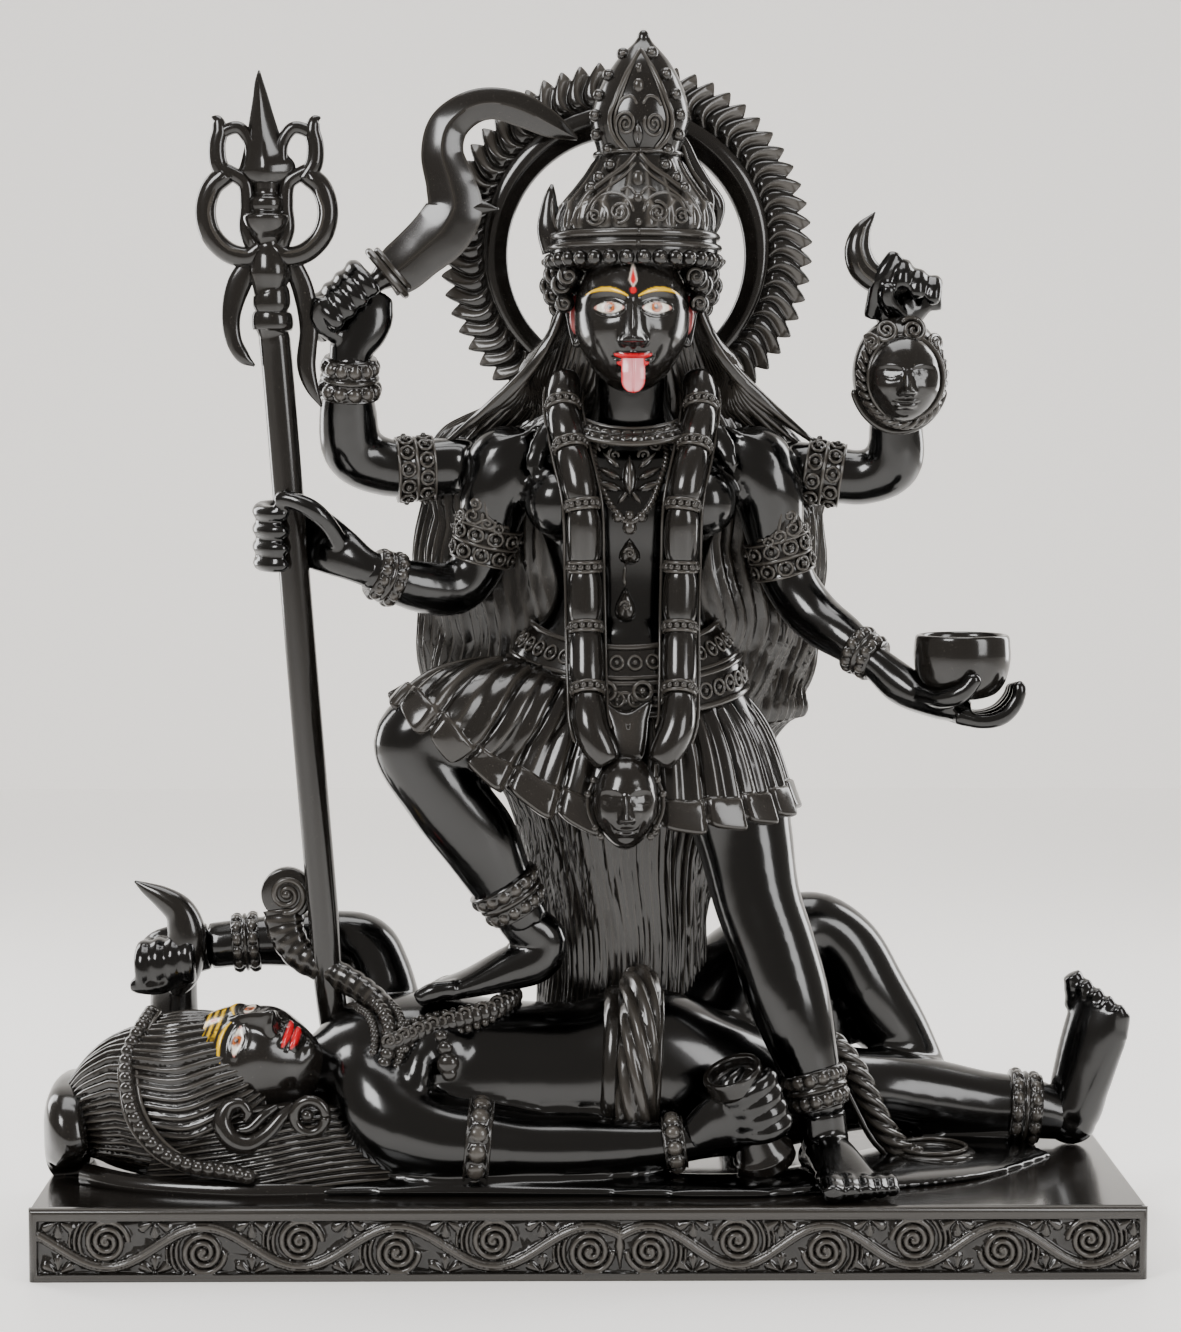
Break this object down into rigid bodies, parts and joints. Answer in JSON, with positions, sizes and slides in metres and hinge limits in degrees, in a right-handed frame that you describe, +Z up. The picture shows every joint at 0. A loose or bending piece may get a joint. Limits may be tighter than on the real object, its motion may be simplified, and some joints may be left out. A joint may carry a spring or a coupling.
{
  "type": "kali figure",
  "caption": "Black marble temple statue of a four-armed crowned goddess with trident, curved sword and bowl, standing over a reclining god on a scroll-carved plinth.",
  "frame": {"origin": "centre of the plinth's underside", "axes": "+Z up, -Y towards the viewer of the carved front, +X to that viewer's right along the plinth's length"},
  "size_m": [0.8271, 0.3, 0.905],
  "materials": {
    "black_marble": "polished black marble with fine pale specks; eyes, brows, lips, tongue and forehead marks painted"
  },
  "bodies": {
    "root": {"statue": "black_marble"}
  },
  "joints": []
}
